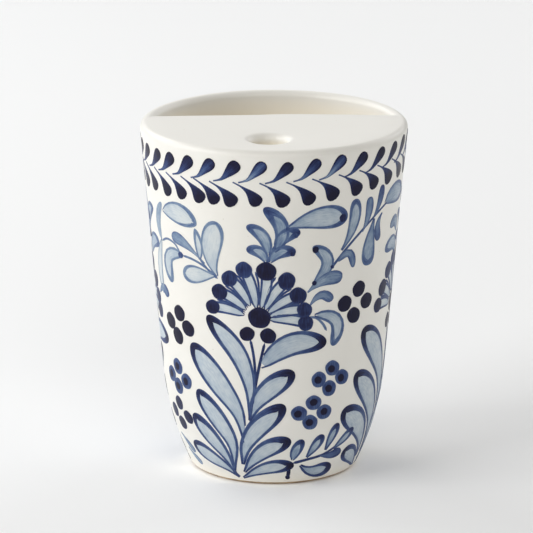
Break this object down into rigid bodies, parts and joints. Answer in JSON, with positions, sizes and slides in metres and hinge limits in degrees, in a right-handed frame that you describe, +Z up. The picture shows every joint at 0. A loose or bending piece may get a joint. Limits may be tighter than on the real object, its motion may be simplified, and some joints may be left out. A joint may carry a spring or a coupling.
{
  "type": "pottery vase",
  "caption": "Tapered round glazed pottery vase, mouth half closed by a flat deck with a hole, painted with blue flowers, leaves and a leaf border.",
  "frame": {"origin": "centre of the foot's underside, on the surface the vase stands on", "axes": "+Z up along the vase's axis; the deck and its hole are on the -Y side; +X is to the right seen from the deck side"},
  "size_m": [0.0864, 0.0864, 0.115],
  "materials": {
    "bare_clay": "matt fired clay",
    "white_glaze": "glossy milk-white tin glaze",
    "cobalt_paint": "cobalt pigment melted into the glaze",
    "slip": "matt fired slip"
  },
  "bodies": {
    "root": {"base_disc": "bare_clay", "body_wall": "bare_clay", "deck_slab": "bare_clay", "floor_seam": "slip", "deck_seam": "slip", "outer_glaze": "white_glaze", "inner_glaze": "white_glaze", "deck_glaze": "white_glaze"}
  },
  "joints": []
}
